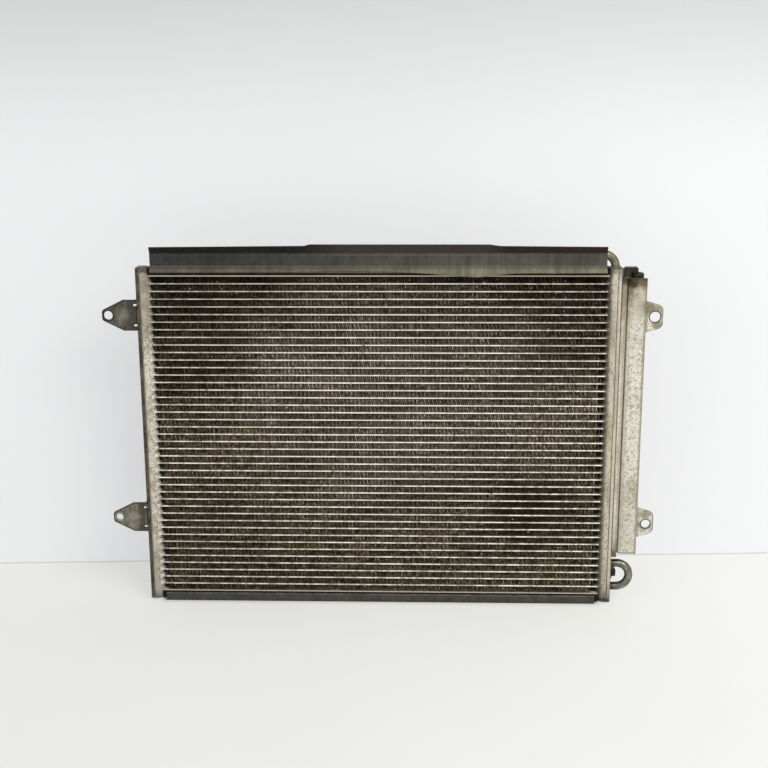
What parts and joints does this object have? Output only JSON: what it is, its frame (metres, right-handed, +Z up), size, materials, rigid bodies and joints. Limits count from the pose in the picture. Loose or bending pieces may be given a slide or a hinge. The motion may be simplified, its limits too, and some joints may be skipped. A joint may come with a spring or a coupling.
{
  "type": "air conditioning condenser",
  "caption": "Parallel-flow condenser with flat tubes and fins between upright headers, a receiver with bracket, a U-shaped crossover pipe, fixing ears and air guide strips.",
  "frame": {"origin": "middle of the bottom of the bounding box, under the lower air guide", "axes": "+X to the viewer's right along the tubes, towards the receiver; +Y backwards, the way the air blows through; +Z up along the headers"},
  "size_m": [0.683, 0.0392, 0.4605],
  "materials": {
    "core_aluminium": "brazed and weathered, dark between the fins",
    "bare_aluminium": "dull, slightly stained",
    "oxidised_aluminium": "dull and oxidised",
    "dark_aluminium": "dark with road grime",
    "black_plastic": "matte black",
    "grey_rubber": "dusty dark grey",
    "white_nylon": "off-white moulded nylon",
    "felt": "pale felt"
  },
  "bodies": {
    "root": {"tube_and_fin_core": "core_aluminium", "top_side_plate": "oxidised_aluminium", "bottom_side_plate": "oxidised_aluminium", "left_header_plate": "bare_aluminium", "right_header_plate": "bare_aluminium", "left_tank": "oxidised_aluminium", "right_tank": "oxidised_aluminium", "left_top_cap": "bare_aluminium", "right_top_cap": "bare_aluminium", "left_bottom_cap": "bare_aluminium", "right_bottom_cap": "bare_aluminium", "left_baffle": "oxidised_aluminium", "right_upper_baffle": "oxidised_aluminium", "right_middle_baffle": "oxidised_aluminium", "right_lower_baffle": "oxidised_aluminium", "inlet_pipe": "oxidised_aluminium", "inlet_block": "bare_aluminium", "outlet_block": "bare_aluminium", "crossover_pipe": "dark_aluminium", "tank_lug": "black_plastic", "bracket_rail": "oxidised_aluminium", "receiver_bracket": "bare_aluminium", "receiver_bottle": "oxidised_aluminium", "receiver_plug": "black_plastic", "plug_seal_ring": "grey_rubber", "receiver_filter": "white_nylon", "desiccant_bag": "felt", "receiver_inlet_block": "oxidised_aluminium", "receiver_outlet_block": "oxidised_aluminium", "receiver_clip": "black_plastic", "left_upper_ear": "dark_aluminium", "left_lower_ear": "dark_aluminium", "upper_air_guide": "grey_rubber", "lower_air_guide": "grey_rubber"}
  },
  "joints": []
}
